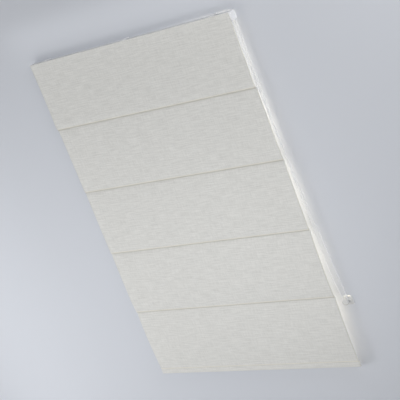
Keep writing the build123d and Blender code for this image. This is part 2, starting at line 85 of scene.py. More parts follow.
class ClothSettings(bpy.types.PropertyGroup):
    """Sizes and colours of the cloth and its lining."""

    thread: FloatProperty(
        name="Thread Pitch",
        description="Distance between two threads of the weave",
        default=1.1 * MM,
        min=0.2 * MM,
        unit="LENGTH",
    )
    slub_length: FloatProperty(
        name="Slub Length",
        description="Usual length of a thick place in the weft",
        default=56 * MM,
        unit="LENGTH",
    )
    slub_height: FloatProperty(
        name="Slub Height",
        description="Usual height of a band of thick weft threads",
        default=3.7 * MM,
        unit="LENGTH",
    )
    ripple: FloatProperty(
        name="Ripple",
        description="Depth of the soft waves across a panel",
        default=0.7 * MM,
        unit="LENGTH",
    )
    thickness: FloatProperty(
        name="Cloth Thickness",
        description="Thickness of the face cloth",
        default=1.0 * MM,
        unit="LENGTH",
    )
    lining_thickness: FloatProperty(
        name="Lining Thickness",
        description="Thickness of the lining",
        default=0.6 * MM,
        unit="LENGTH",
    )
    light_thread: FloatVectorProperty(
        name="Light Threads",
        description="Colour of the thicker, lighter threads",
        subtype="COLOR",
        size=3,
        default=(0.828, 0.827, 0.802),
    )
    dark_thread: FloatVectorProperty(
        name="Dark Threads",
        description="Colour of the gaps between threads",
        subtype="COLOR",
        size=3,
        default=(0.668, 0.667, 0.642),
    )
    # The turned-edge colour is the doubled cloth's own warmer tone at the sides. On the panel lips it is also
    # a painted highlight, and times 0.78 it is the painted shade of the fold lips.
    edge: FloatVectorProperty(
        name="Turned Edge",
        description="Colour of the doubled cloth at the sides",
        subtype="COLOR",
        size=3,
        default=(0.825, 0.805, 0.735),
    )
    lining: FloatVectorProperty(
        name="Lining",
        description="Colour of the lining",
        subtype="COLOR",
        size=3,
        default=(0.88, 0.89, 0.91),
    )


class ChainSettings(bpy.types.PropertyGroup):
    """Sizes of the bead chain and the lift cords."""

    bead: FloatProperty(
        name="Bead Diameter",
        description="Diameter of one bead",
        default=4.5 * MM,
        unit="LENGTH",
    )
    pitch: FloatProperty(
        name="Bead Pitch",
        description="Distance from one bead to the next",
        default=6.0 * MM,
        unit="LENGTH",
    )
    string: FloatProperty(
        name="String Diameter",
        description="Diameter of the string through the beads",
        default=1.4 * MM,
        unit="LENGTH",
    )
    lift_cord: FloatProperty(
        name="Lift Cord Diameter",
        description="Diameter of the braided lift cords",
        default=1.2 * MM,
        unit="LENGTH",
    )


class StageSettings(bpy.types.PropertyGroup):
    """Camera and lights."""

    lens: FloatProperty(
        name="Focal Length",
        description="Focal length of the camera, in millimetres",
        default=105.15,
    )
    key_power: FloatProperty(
        name="Key Light",
        description="Power of the large light at the front left",
        default=20.1,
        unit="POWER",
    )
    low_power: FloatProperty(
        name="Low Light",
        description="Power of the light in front of the lower panels",
        default=3.2,
        unit="POWER",
    )
    top_power: FloatProperty(
        name="Top Light",
        description="Power of the long light above the headrail",
        default=1.6,
        unit="POWER",
    )
    left_power: FloatProperty(
        name="Left Light",
        description="Power of the near light at the lower left",
        default=5.5,
        unit="POWER",
    )
    back_power: FloatProperty(
        name="Back Light",
        description="Power of the light behind the wall, which the wall lets through",
        default=22.0,
        unit="POWER",
    )
    wash_power: FloatProperty(
        name="Wall Wash",
        description="Power of the light on the wall at the left",
        default=2.6,
        unit="POWER",
    )
    right_power: FloatProperty(
        name="Right Light",
        description="Power of the near light at the upper right",
        default=9.6,
        unit="POWER",
    )
    glow_power: FloatProperty(
        name="Wall Glow",
        description="Power of the warm strip that shines on the back of the lining at the right",
        default=2.9,
        unit="POWER",
    )
    rail_power: FloatProperty(
        name="Rail Light",
        description="Power of the strip that lights the wall above the headrail",
        default=0.1,
        unit="POWER",
    )
    side_power: FloatProperty(
        name="Side Light",
        description="Power of the strip level with the blind that lights its right-hand edges",
        default=6.5,
        unit="POWER",
    )
    ambient: FloatProperty(
        name="Room Light", description="Strength of the even light from all round", default=0.3
    )


# ------------------------------------------------------------------ mesh helpers


def put_mesh(name, points, faces, materials, uv=None, face_material=None, smooth=True):
    """Make a mesh object at the origin from a point array and a quad array."""
    mesh = bpy.data.meshes.new(name)
    mesh.vertices.add(len(points))
    mesh.vertices.foreach_set("co", np.asarray(points, np.float32).ravel())
    mesh.loops.add(faces.size)
    mesh.loops.foreach_set("vertex_index", faces.astype(np.int32).ravel())
    mesh.polygons.add(len(faces))
    mesh.polygons.foreach_set("loop_start", np.arange(0, faces.size, faces.shape[1], dtype=np.int32))
    if uv is not None:
        layer = mesh.uv_layers.new(name="cloth")
        layer.data.foreach_set("uv", np.asarray(uv, np.float32)[faces.ravel()].ravel())
    for material in materials:
        mesh.materials.append(material)
    if face_material is not None:
        mesh.polygons.foreach_set("material_index", face_material.astype(np.int32))
    mesh.polygons.foreach_set("use_smooth", np.full(len(faces), smooth))
    mesh.update(calc_edges=True)
    mesh.validate()
    made = bpy.data.objects.new(name, mesh)
    bpy.context.scene.collection.objects.link(made)
    return made


def grid_faces(rows, columns, wrap_rows=False, wrap_columns=False):
    """Quads of a grid of rows by columns points, row by row, closed where asked."""
    row = np.arange(rows if wrap_rows else rows - 1)
    column = np.arange(columns if wrap_columns else columns - 1)
    i, j = np.meshgrid(row, column, indexing="ij")
    below = (i + 1) % rows
    beside = (j + 1) % columns
    quads = np.stack(
        (i * columns + j, below * columns + j, below * columns + beside, i * columns + beside), -1
    )
    return quads.reshape(-1, 4)


def soft_waves(across, down, seed):
    """Height between about -1 and 1: three slow sine waves along and across the cloth, with
    random turns and lengths that depend on the seed."""
    random = np.random.default_rng(seed)
    total = np.zeros(np.broadcast(across, down).shape)
    for share in (0.5, 0.3, 0.2):
        run = random.uniform(3, 9)
        fall = random.uniform(4, 14)
        phase = random.uniform(0, 2 * math.pi, 2)
        total += share * np.sin(run * across + phase[0]) * np.cos(fall * down + phase[1])
    return total


def hanging_cloth(name, size, front, curl, thickness, ripple, seed, materials):
    """A closed sheet of cloth: its front is a grid whose depth is front(share of the drop) plus
    soft waves and a curl, its back is the same grid one thickness behind, and four rims join them.
    The curl grows as the square of the distance past a line a little inside each side. The rows
    are closer together in the roll below the fold and in the doubled lip."""
    width, top, bottom = size
    rolled = np.linspace(0, ROLL_SHARE, 13)[:-1]
    plain = np.linspace(ROLL_SHARE, LIP_SHARE, 56)[:-1]
    share = np.concatenate((rolled, plain, np.linspace(LIP_SHARE, 1, 4)))[:, None]
    rows, columns = len(share), 160
    x = np.linspace(-width / 2, width / 2, columns)[None, :]
    z = top + (bottom - top) * share
    calm = np.sin(math.pi * share) ** 0.5
    past = np.clip((np.abs(x) - width / 2) / CURL_WIDTH + 1, 0, 1)
    depth = front(share) + calm * (ripple * soft_waves(x, z, seed) + curl * past**2)
    flat = np.broadcast_to(x, depth.shape)
    high = np.broadcast_to(z, depth.shape)
    face = np.stack((flat, depth, high), -1)
    back = np.stack((flat, depth + thickness, high), -1)
    points = np.concatenate((face.reshape(-1, 3), back.reshape(-1, 3)))
    count = rows * columns
    fall = np.concatenate(([0], np.cumsum(np.hypot(np.diff(front(share)[:, 0]), np.diff(z[:, 0])))))
    cloth_uv = np.stack((flat, np.broadcast_to(-fall[:, None] + top, depth.shape)), -1).reshape(-1, 2)
    quads = grid_faces(rows, columns)

    def rim(first, turned):
        second = first + count
        strip = np.stack((first[:-1], first[1:], second[1:], second[:-1]), -1)
        return strip[:, ::-1] if turned else strip

    # The turned rows of the lip take the edge linen: the doubled cloth's warmer tone, and partly a painted
    # highlight for the lip catching the light.
    turned_highlight_rows = np.repeat(share[:-1, 0] >= LIP_SHARE, columns - 1)
    index = np.arange(count).reshape(rows, columns)
    sides = np.concatenate((rim(index[:, 0], True), rim(index[:, -1], False)))
    ends = np.concatenate((rim(index[0], False), rim(index[-1], True)))
    faces = np.concatenate((quads, quads[:, ::-1] + count, ends, sides))
    slot_index = np.zeros(len(faces))
    slot_index[: len(quads)][turned_highlight_rows] = len(materials) - 1
    slot_index[-len(sides):] = len(materials) - 1
    return put_mesh(
        name, points, faces, materials, np.concatenate((cloth_uv, cloth_uv)), slot_index
    )


def outward(made):
    """Recalculate a closed mesh's normals to face out."""
    mesh = bmesh.new()
    mesh.from_mesh(made.data)
    bmesh.ops.recalc_face_normals(mesh, faces=mesh.faces)
    mesh.to_mesh(made.data)
    mesh.free()
    return made


def put_closed(name, points, faces, materials, uv=None):
    """Make a closed smooth mesh object, facing out, from points and faces of any corner count."""
    mesh = bpy.data.meshes.new(name)
    mesh.from_pydata(points.tolist(), [], faces)
    if uv is not None:
        layer = mesh.uv_layers.new(name="cloth")
        corner = np.zeros(len(mesh.loops), np.int32)
        mesh.loops.foreach_get("vertex_index", corner)
        layer.data.foreach_set("uv", uv[corner].astype(np.float32).ravel())
    for material in materials:
        mesh.materials.append(material)
    mesh.polygons.foreach_set("use_smooth", np.ones(len(mesh.polygons), bool))
    mesh.update(calc_edges=True)
    made = bpy.data.objects.new(name, mesh)
    bpy.context.scene.collection.objects.link(made)
    return outward(made)


def ellipsoids(middles, axes, radii, rings, sides):
    """Points and faces of equal ellipsoids, one at each middle: rings of points between two poles
    on the third axis. The axes are the rows of one matrix, or of one matrix for each middle."""
    lat = np.linspace(0, math.pi, rings + 2)[1:-1, None]
    lon = np.linspace(0, 2 * math.pi, sides, endpoint=False)
    across = (np.sin(lat) * np.cos(lon), np.sin(lat) * np.sin(lon), np.cos(lat) * np.ones(sides))
    one = np.concatenate((np.stack(across, -1).reshape(-1, 3), ((0, 0, 1), (0, 0, -1)))) * radii
    points = middles[:, None] + one @ axes
    around = np.arange(sides)
    after = (around + 1) % sides
    last = (rings - 1) * sides
    north = np.stack((np.full(sides, rings * sides), around, after), -1)
    south = np.stack((np.full(sides, rings * sides + 1), last + after, last + around), -1)
    offset = (np.arange(len(middles)) * len(one))[:, None, None]
    body = grid_faces(rings, sides, wrap_columns=True)
    faces = (body + offset).reshape(-1, 4).tolist()
    faces += (np.concatenate((north, south)) + offset).reshape(-1, 3).tolist()
    return points.reshape(-1, 3), faces


def closed_profile_along_x(name, profile, xs, materials, sway=None, uv_top=0.0):
    """A bar of cloth: a closed loop of (y, z) points carried along x, with fan caps at its ends."""
    loop = np.asarray(profile, float)
    count = len(loop)
    points = np.empty((len(xs), count, 3))
    points[:, :, 0] = np.asarray(xs)[:, None]
    points[:, :, 1] = loop[None, :, 0]
    points[:, :, 2] = loop[None, :, 1]
    if sway is not None:
        points[:, :, 1:] += sway(points[:, :, 0])[..., None] * np.array((1.0, 0.4))
    around = distance_along(loop)
    uv = np.stack(
        (points[:, :, 0], np.broadcast_to(uv_top - around[None, :], points.shape[:2])), -1
    ).reshape(-1, 2)
    faces = grid_faces(len(xs), count, wrap_columns=True)
    middles = points[[0, -1]].mean(axis=1)
    ring = np.arange(count)
    after = (ring + 1) % count
    last = (len(xs) - 1) * count
    hub = len(xs) * count
    start_cap = np.stack((ring, after, np.full(count, hub)), -1)
    end_cap = np.stack((last + after, last + ring, np.full(count, hub + 1)), -1)
    return put_closed(
        name,
        np.concatenate((points.reshape(-1, 3), middles)),
        faces.tolist() + start_cap.tolist() + end_cap.tolist(),
        materials,
        np.concatenate((uv, uv[[0, last]])),
    )


def distance_along(points):
    """Length of a path from its start to each of its points."""
    return np.concatenate(([0], np.cumsum(np.linalg.norm(np.diff(points, axis=0), axis=1))))


def path_frames(path):
    """Tangents of a path and two directions square to each, by carrying one side direction along."""
    tangent = np.gradient(path, axis=0)
    tangent /= np.linalg.norm(tangent, axis=1)[:, None]
    side = np.cross(tangent, np.array((0.31, 0.93, 0.17)))
    side /= np.linalg.norm(side, axis=1)[:, None]
    return tangent, side, np.cross(tangent, side)


def tube(name, path, radius, sides, materials):
    """A round cord: a circle of the given radius carried along the path, with flat fan ends."""
    _, side, other = path_frames(path)
    turn = np.linspace(0, 2 * math.pi, sides, endpoint=False)
    cosine, sine = np.cos(turn)[None, :, None], np.sin(turn)[None, :, None]
    ring = radius * (cosine * side[:, None] + sine * other[:, None])
    faces = grid_faces(len(path), sides, wrap_columns=True).tolist()
    last = (len(path) - 1) * sides
    faces.append(list(range(sides)))
    faces.append([last + k for k in reversed(range(sides))])
    run = distance_along(path)
    around = np.broadcast_to(np.arange(sides)[None, :] / sides, (len(path), sides))
    cord_uv = np.stack((around, np.broadcast_to(run[:, None], around.shape)), -1).reshape(-1, 2)
    return put_closed(name, (path[:, None] + ring).reshape(-1, 3), faces, materials, cord_uv)


def spline_points(route):
    """Points along the smooth curve that a route's control points make, in metres."""
    curve = bpy.data.curves.new("route", "CURVE")
    curve.dimensions = "3D"
    spline = curve.splines.new("NURBS")
    spline.points.add(len(route) - 1)
    for point, place in zip(spline.points, route):
        point.co = (*place, 1)
    spline.order_u = 3
    spline.use_endpoint_u = True
    spline.resolution_u = 24
    holder = bpy.data.objects.new("route", curve)
    mesh = bpy.data.meshes.new_from_object(holder)
    points = np.array([vertex.co for vertex in mesh.vertices])
    bpy.data.objects.remove(holder)
    bpy.data.meshes.remove(mesh)
    bpy.data.curves.remove(curve)
    return points


def evenly(points, step):
    """The same path as points a fixed step apart."""
    run = distance_along(points)
    at = np.linspace(0, run[-1], max(2, int(round(run[-1] / step)) + 1))
    return np.stack([np.interp(at, run, points[:, k]) for k in range(3)], -1)


# ------------------------------------------------------------------ materials


class Finish:
    """A material with a Principled shader, and short ways to add nodes to it."""

    def __init__(self, name, colour, roughness, metallic=0.0):
        self.material = bpy.data.materials.new(name)
        self.material.use_nodes = True
        self.nodes = self.material.node_tree.nodes
        self.links = self.material.node_tree.links
        self.shader = self.nodes["Principled BSDF"]
        self.set("Base Color", (*colour, 1))
        self.set("Roughness", roughness)
        self.set("Metallic", metallic)

    def set(self, socket, value):
        self.shader.inputs[socket].default_value = value

    def add(self, kind, **values):
        node = self.nodes.new(kind)
        for key, value in values.items():
            setattr(node, key, value)
        return node

    def join(self, source, target):
        self.links.new(source, target)

    def place(self, source, scale, turn=(0, 0, 0)):
        """Object or UV coordinates, scaled to waves per metre."""
        coordinates = self.add("ShaderNodeTexCoord")
        mapping = self.add("ShaderNodeMapping")
        mapping.inputs["Scale"].default_value = scale
        mapping.inputs["Rotation"].default_value = turn
        self.join(coordinates.outputs[source], mapping.inputs["Vector"])
        return mapping.outputs["Vector"]

    def noise(self, vector, detail=2.0, roughness=0.5, distortion=0.0):
        texture = self.add("ShaderNodeTexNoise")
        texture.inputs["Scale"].default_value = 1.0
        texture.inputs["Detail"].default_value = detail
        texture.inputs["Roughness"].default_value = roughness
        texture.inputs["Distortion"].default_value = distortion
        self.join(vector, texture.inputs["Vector"])
        return texture.outputs["Fac"]

    def wave(self, vector, direction):
        texture = self.add("ShaderNodeTexWave", wave_type="BANDS", bands_direction=direction)
        texture.inputs["Scale"].default_value = math.pi / 10
        self.join(vector, texture.inputs["Vector"])
        return texture.outputs["Fac"]

    def math(self, operation, first, second):
        node = self.add("ShaderNodeMath", operation=operation)
        for socket, value in zip(node.inputs, (first, second)):
            if isinstance(value, (int, float)):
                socket.default_value = value
            else:
                self.join(value, socket)
        return node.outputs["Value"]

    def ramp(self, factor, low, high, at=(0.0, 1.0)):
        node = self.add("ShaderNodeValToRGB")
        node.color_ramp.elements[0].position = at[0]
        node.color_ramp.elements[1].position = at[1]
        node.color_ramp.elements[0].color = (*low, 1)
        node.color_ramp.elements[1].color = (*high, 1)
        self.join(factor, node.inputs["Fac"])
        self.join(node.outputs["Color"], self.shader.inputs["Base Color"])

    def bump(self, height, distance, strength=1.0):
        node = self.add("ShaderNodeBump")
        node.inputs["Distance"].default_value = distance
        node.inputs["Strength"].default_value = strength
        self.join(height, node.inputs["Height"])
        self.join(node.outputs["Normal"], self.shader.inputs["Normal"])

    def vary_roughness(self, factor, low, high):
        node = self.add("ShaderNodeMapRange")
        node.inputs["To Min"].default_value = low
        node.inputs["To Max"].default_value = high
        self.join(factor, node.inputs["Value"])
        self.join(node.outputs["Result"], self.shader.inputs["Roughness"])


def linen(name, settings, light, dark):
    """Plain weave with slubs: long flat noise for the weft, tall narrow noise for the warp and
    fine bands for single threads, added into one height that colours and embosses the cloth."""
    finish = Finish(name, light, 0.92)
    length, height = settings.slub_length, settings.slub_height
    weft = finish.noise(finish.place("UV", (1 / length, 1 / height, 1)), 2.0, 0.5, 0.35)
    warp = finish.noise(finish.place("UV", (1.1 / height, 1.6 / length, 1)), 2.0, 0.5, 0.2)
    threads = finish.math(
        "MULTIPLY",
        finish.wave(finish.place("UV", (1 / settings.thread, 0, 0)), "X"),
        finish.wave(finish.place("UV", (0, 1 / settings.thread, 0)), "Y"),
    )
    slubs = finish.math("ADD", finish.math("MULTIPLY", weft, 0.6), finish.math("MULTIPLY", warp, 0.4))
    height = finish.math("ADD", slubs, finish.math("MULTIPLY", threads, 0.06))
    finish.ramp(height, dark, light, (0.34, 0.70))
    finish.bump(height, 1.0 * MM, 0.4)
    finish.set("Sheen Weight", 0.25)
    finish.set("Sheen Roughness", 0.6)
    finish.set("Specular IOR Level", 0.2)
    return finish.material


def plain_cotton(name, settings, colour):
    """Fine even weave: two sets of narrow bands over a faint cloud."""
    finish = Finish(name, colour, 0.9)
    cloud = finish.noise(finish.place("UV", (40, 40, 1)), 2.0)
    threads = finish.math(
        "MULTIPLY",
        finish.wave(finish.place("UV", (1.6 / settings.thread, 0, 0)), "X"),
        finish.wave(finish.place("UV", (0, 1.6 / settings.thread, 0)), "Y"),
    )
    height = finish.math("ADD", finish.math("MULTIPLY", cloud, 0.7), finish.math("MULTIPLY", threads, 0.3))
    finish.ramp(height, tuple(0.94 * c for c in colour), colour, (0.2, 0.6))
    finish.bump(height, 0.3 * MM, 0.5)
    finish.set("Sheen Weight", 0.15)
    return finish.material


def moulded(name, colour, roughness, grain=0.02):
    """Moulded plastic: faint mottled gloss and a slight orange-peel surface."""
    finish = Finish(name, colour, roughness)
    cloud = finish.noise(finish.place("Object", (220, 220, 220)), 3.0)
    finish.vary_roughness(cloud, roughness - 0.06, roughness + 0.08)
    finish.bump(cloud, grain * MM, 0.5)
    return finish.material


def powder_coat(name, colour):
    """Powder coat: satin with a fine orange peel."""
    finish = Finish(name, colour, 0.38)
    peel = finish.noise(finish.place("Object", (900, 900, 900)), 2.0)
    finish.vary_roughness(peel, 0.32, 0.46)
    finish.bump(peel, 0.02 * MM, 0.6)
    finish.set("Coat Weight", 0.1)
    return finish.material


def drawn(name, colour, roughness, along="X", metallic=1.0):
    """Drawn or rolled stock: roughness in long streaks along one direction."""
    scale = {"X": (8, 1500, 1500), "Y": (1500, 8, 1500), "Z": (1500, 1500, 8)}[along]
    finish = Finish(name, colour, roughness, metallic)
    streak = finish.noise(finish.place("Object", scale), 2.0)
    finish.vary_roughness(streak, roughness - 0.08, roughness + 0.12)
    finish.bump(streak, 0.01 * MM, 0.4)
    return finish.material


def tape_pile(name, colour):
    """Hook and loop tape: a dense short pile."""
    finish = Finish(name, colour, 0.95)
    pile = finish.noise(finish.place("Object", (1400, 1400, 1400)), 3.0, 0.7)
    finish.ramp(pile, tuple(0.8 * c for c in colour), colour, (0.3, 0.7))
    finish.bump(pile, 0.4 * MM, 0.9)
    finish.set("Sheen Weight", 0.4)
    return finish.material


def braid(name, colour):
    """Braided cord: two slanting sets of bands that cross round it."""
    finish = Finish(name, colour, 0.8)
    first = finish.wave(finish.place("UV", (4, 450, 0), (0, 0, 0.6)), "X")
    second = finish.wave(finish.place("UV", (4, 450, 0), (0, 0, -0.6)), "Y")
    crossing = finish.math("MULTIPLY", first, second)
    finish.ramp(crossing, tuple(0.8 * c for c in colour), colour)
    finish.bump(crossing, 0.1 * MM, 0.6)
    return finish.material


def clear_plastic(name):
    """Clear moulded plastic: transmission with a faint flow in its gloss."""
    finish = Finish(name, (0.96, 0.97, 0.98), 0.06)
    flow = finish.noise(finish.place("Object", (120, 120, 500)), 2.0)
    finish.vary_roughness(flow, 0.03, 0.12)
    finish.set("Transmission Weight", 0.3)
    finish.set("Coat Weight", 1.0)
    finish.set("IOR", 1.46)
    return finish.material


# ------------------------------------------------------------------ shape of the cloth
# Depth of each panel's front, in millimetres: at its top, at its belly, at the lip below it,
# then how far down the belly is, how far the sides curl back and how far the lip tucks in.
PANEL_DEPTHS = (
    (-31.9, -37.5, -36.0, 0.92, 1.0, 2.5),
    (-28.0, -35.5, -34.5, 0.80, 3.5, 1.5),
    (-27.0, -40.0, -37.5, 0.85, 4.0, 0.3),
    (-31.0, -45.0, -39.0, 0.75, 4.0, 0.3),
    (-32.0, -43.0, -38.0, 0.60, 2.0, 0.0),
)
LINING_GAP = 5.0 * MM
# The face cloth overlaps each fold rod by these amounts, from above and from below.
OVERLAP = (1.0 * MM, 3.2 * MM)
# A panel rolls out from under the fold above it in the first part of its drop, and its last part is
# doubled cloth, turned back at the lip. Its sides curl back over a narrow strip.
ROLL_SHARE = 0.06
LIP_SHARE = 0.985
CURL_WIDTH = 45 * MM


def belly(depths):
    """Depth against share of the drop s. The first panel hangs straight and flares as s to the
    power 2.2. The others roll out from under the lip as 1 - exp(-50 s) and swell to the belly as
    1 - (1 - s) to the power 2.4. All come back to the lip as s to the power 1.6, and the last 4
    hundredths tuck in as a square."""
    top, out, lip, where, _, tuck = depths
    hung = depths is PANEL_DEPTHS[0]
    quick = 0.0 if hung else 0.42

    def depth(share):
        first = np.clip(share / where, 0, 1)
        second = np.clip((share - where) / (1 - where), 0, 1)
        roll = quick * (1 - np.exp(-50 * share))
        rise = first**2.2 if hung else 1 - (1 - first) ** 2.4
        swell = roll + (1 - quick) * rise
        tucked = tuck * np.clip((share - 0.96) / 0.04, 0, 1) ** 2
        return MM * (top + (out - top) * swell + (lip - out) * second**1.6 + tucked)

    return depth


class BLIND_OT_camera(bpy.types.Operator):
    """Place the camera that looks down at the blind from its right"""

    bl_idname = "blind.camera"
    bl_label = "Camera"

    def execute(self, context):
        settings = context.scene.blind_stage
        data = bpy.data.cameras.new("camera")
        data.lens = settings.lens
        data.sensor_width = 36.0
        data.clip_end = 50.0
        camera = bpy.data.objects.new("camera", data)
        right = Vector((0.78204, 0.5086, -0.3602))
        up = Vector((0.11705, 0.4478, 0.88644))
        forward = Vector((-0.61214, 0.73539, -0.29067))
        turn = Matrix((right, up, -forward)).transposed().to_4x4()
        camera.matrix_world = Matrix.Translation((2.8517, -3.3841, 0.6556)) @ turn
        context.scene.collection.objects.link(camera)
        context.scene.camera = camera
        return {"FINISHED"}


# ------------------------------------------------------------------ bead chain
# The route repeats the frame's, as control points in metres.
AXIS_Y, AXIS_Z = -16.5 * MM, -4.0 * MM
CHAIN_X = 502.4 * MM
WHEEL = 11 * 6.0 * MM / (2 * math.pi)
CORNER = WHEEL * math.tan(math.radians(22.5))
HUB_X, HUB_Y, HUB_Z = 522 * MM, -9 * MM, -1176 * MM
JOINER = (504 * MM, -17 * MM, -606 * MM)
JOINER_HALF = 7 * MM
CHAIN_ROUTE = (
    (JOINER[0], JOINER[1], JOINER[2] + JOINER_HALF),
    (CHAIN_X, AXIS_Y + WHEEL + 0.0004, -0.046),
    (CHAIN_X, AXIS_Y + WHEEL, AXIS_Z + CORNER),
    (CHAIN_X, AXIS_Y + CORNER, AXIS_Z + WHEEL),
    (CHAIN_X, AXIS_Y - CORNER, AXIS_Z + WHEEL),
    (CHAIN_X, AXIS_Y - WHEEL, AXIS_Z + CORNER),
    (CHAIN_X, AXIS_Y - WHEEL - 0.0006, -0.056),
    (0.515, -0.031, -0.586),
    (0.530, -0.014, -1.046),
    (HUB_X + WHEEL + 0.0004, HUB_Y - 0.0004, HUB_Z + 0.028),
    (HUB_X + WHEEL, HUB_Y, HUB_Z - CORNER),
    (HUB_X + CORNER, HUB_Y, HUB_Z - WHEEL),
    (HUB_X - CORNER, HUB_Y, HUB_Z - WHEEL),
    (HUB_X - WHEEL, HUB_Y, HUB_Z - CORNER),
    (HUB_X - WHEEL - 0.0004, HUB_Y - 0.0006, HUB_Z + 0.028),
    (0.507, -0.026, -1.026),
    (JOINER[0], JOINER[1], JOINER[2] - JOINER_HALF),
)


class BLIND_OT_chain(bpy.types.Operator):
    """Thread the beads of the control chain along its route"""

    bl_idname = "blind.chain"
    bl_label = "Bead Chain"

    def execute(self, context):
        settings = context.scene.blind_chain
        path = evenly(spline_points(CHAIN_ROUTE), settings.pitch)
        material = moulded("chain_beads", (0.80, 0.82, 0.87), 0.32)
        tangent, side, other = path_frames(path)
        axes = np.stack((side, other, tangent), 1)
        beads, faces = ellipsoids(path, axes, settings.bead / 2, 5, 10)
        chain = put_closed("chain_bead_string", beads, faces, [material])
        string = tube("chain_string", path, settings.string / 2, 8, [material])
        context.view_layer.update()
        join(chain, [string])
        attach(chain, RAIL_BODY)
        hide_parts("bead_chain")
        return {"FINISHED"}


def join(target, others):
    """Join objects into the first one."""
    with bpy.context.temp_override(
        active_object=target, selected_editable_objects=[target, *others], object=target
    ):
        bpy.ops.object.join()


class BLIND_OT_face_cloth(bpy.types.Operator):
    """Hang the five panels of the face cloth"""

    bl_idname = "blind.face_cloth"
    bl_label = "Face Cloth"

    def execute(self, context):
        settings = context.scene.blind_cloth
        face = linen("linen_face", settings, settings.light_thread, settings.dark_thread)
        # Edge linen: the side rims' own doubled-cloth tone, and on the lip rows partly a painted highlight.
        edge = linen("linen_edge_and_lip_highlight", settings, settings.edge, tuple(0.93 * c for c in settings.edge))
        for number, depths in enumerate(PANEL_DEPTHS, start=1):
            low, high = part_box(f"fabric_panel_{number}")
            width = high.x - low.x
            top = high.z + (OVERLAP[1] if number > 1 else 0.0)
            bottom = low.z - (OVERLAP[0] if number < 5 else 0.0)
            panel = hanging_cloth(
                f"face_cloth_{number}",
                (width, top, bottom),
                belly(depths),
                MM * depths[4],
                settings.thickness,
                settings.ripple,
                number,
                [face, edge],
            )
            body = RAIL_BODY if number == 1 else FOLD_BODIES[number - 2]
            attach(panel, body)
            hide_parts(f"fabric_panel_{number}")
            if number == 5:
                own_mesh(panel)
            else:
                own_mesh(panel)
        return {"FINISHED"}


class BLIND_OT_lining(bpy.types.Operator):
    """Hang the lining behind each panel"""

    bl_idname = "blind.lining"
    bl_label = "Lining"

    def execute(self, context):
        settings = context.scene.blind_cloth
        cotton = plain_cotton("lining_cotton", settings, settings.lining)
        for number, depths in enumerate(PANEL_DEPTHS, start=1):
            low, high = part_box(f"lining_panel_{number}")
            front = belly(depths)
            lining = hanging_cloth(
                f"lining_cloth_{number}",
                (high.x - low.x, high.z, low.z),
                lambda share, front=front: front(share) + LINING_GAP,
                MM * depths[4] - 0.76 * LINING_GAP,
                settings.lining_thickness,
                settings.ripple,
                number,
                [cotton],
            )
            body = RAIL_BODY if number == 1 else FOLD_BODIES[number - 2]
            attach(lining, body)
            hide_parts(f"lining_panel_{number}")
            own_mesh(lining)
        return {"FINISHED"}


class BLIND_OT_fold_lips(bpy.types.Operator):
    """Wrap the cloth round each fold rod"""

    bl_idname = "blind.fold_lips"
    bl_label = "Fold Lips"

    def execute(self, context):
        settings = context.scene.blind_cloth
        # Painted shade: the fold lips are the turned-edge colour times 0.78, a darker linen that stands for
        # the shadowed crevice under each fold.
        shade = tuple(0.78 * c for c in settings.edge)
        fold_shade = linen("linen_fold_shade", settings, shade, tuple(0.93 * c for c in shade))
        xs = np.linspace(-499 * MM, 499 * MM, 200)
        turn = np.linspace(0, 2 * math.pi, 28, endpoint=False)
        for number in range(1, 5):
            middle, size = box_middle(f"rod_pocket_{number}")
            outer = size.z / 2 - 0.5 * MM
            inner = outer - 0.5 * MM
            # Outer and inner walls meet at both ends: the loop runs out along one, back along the other.
            run = np.concatenate((xs, xs[::-1]))
            radius = np.concatenate((np.full(len(xs), outer), np.full(len(xs), inner)))
            wave = 0.12 * MM * np.sin(23 * run + number)
            points = np.empty((len(run), len(turn), 3))
            points[:, :, 0] = run[:, None]
            points[:, :, 1] = middle.y + (radius + wave)[:, None] * np.cos(turn)[None]
            points[:, :, 2] = middle.z + (radius + wave)[:, None] * np.sin(turn)[None]
            around = outer * turn
            uv = np.stack(
                (points[:, :, 0], np.broadcast_to(middle.z + around[None], points.shape[:2])), -1
            ).reshape(-1, 2)
            faces = grid_faces(len(run), len(turn), wrap_rows=True, wrap_columns=True)
            lip = put_mesh(f"fold_lip_{number}", points.reshape(-1, 3), faces, [fold_shade], uv)
            outward(lip)
            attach(lip, FOLD_BODIES[number - 1])
            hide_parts(f"rod_pocket_{number}")
        return {"FINISHED"}


